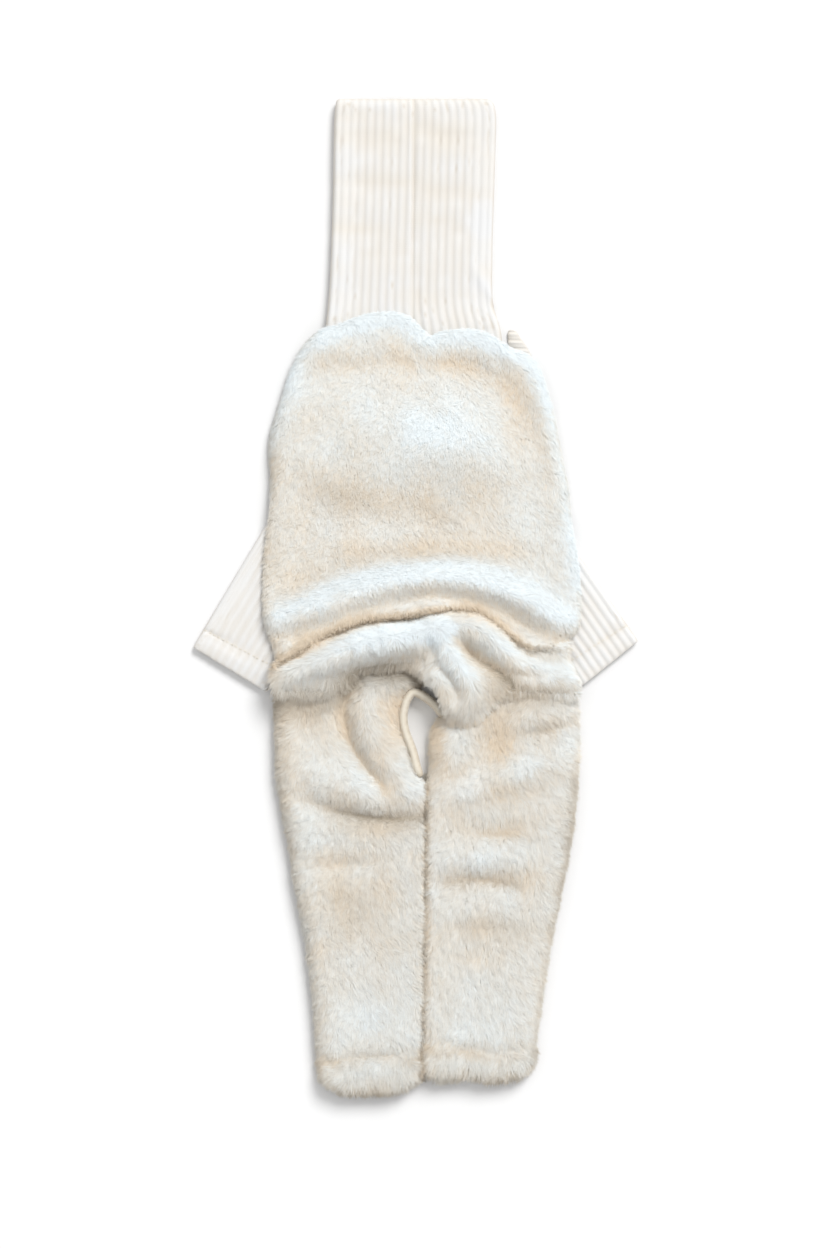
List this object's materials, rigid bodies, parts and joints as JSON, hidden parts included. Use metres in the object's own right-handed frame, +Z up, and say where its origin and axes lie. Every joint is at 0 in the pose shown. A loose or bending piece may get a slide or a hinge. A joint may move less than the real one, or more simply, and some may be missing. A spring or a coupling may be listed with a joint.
{
  "type": "plush one-piece romper with a tall rib neck",
  "caption": "Plush one-piece romper laid flat with its back up: tall rib neck, short rib sleeves, bunched seat, bound opening at the crotch and long plush legs.",
  "frame": {"origin": "on the surface that the garment lies on, under the middle of its outline", "axes": "+Y towards the neck, +X towards the right side of the view from above, +Z up from the surface"},
  "size_m": [0.2766, 0.619, 0.0306],
  "materials": {
    "plush": "long soft cream pile",
    "rib_knit": "brushed cream rib",
    "binding_tape": "fine cream knit tape"
  },
  "bodies": {
    "root": {"neck_tube": "rib_knit", "shoulder_left": "rib_knit", "shoulder_right": "rib_knit", "front_panel": "rib_knit", "sleeve_left": "rib_knit", "sleeve_right": "rib_knit", "back_panel": "plush", "seat_panel": "plush", "leg_left": "plush", "leg_right": "plush", "crotch_binding": "binding_tape"}
  },
  "joints": []
}
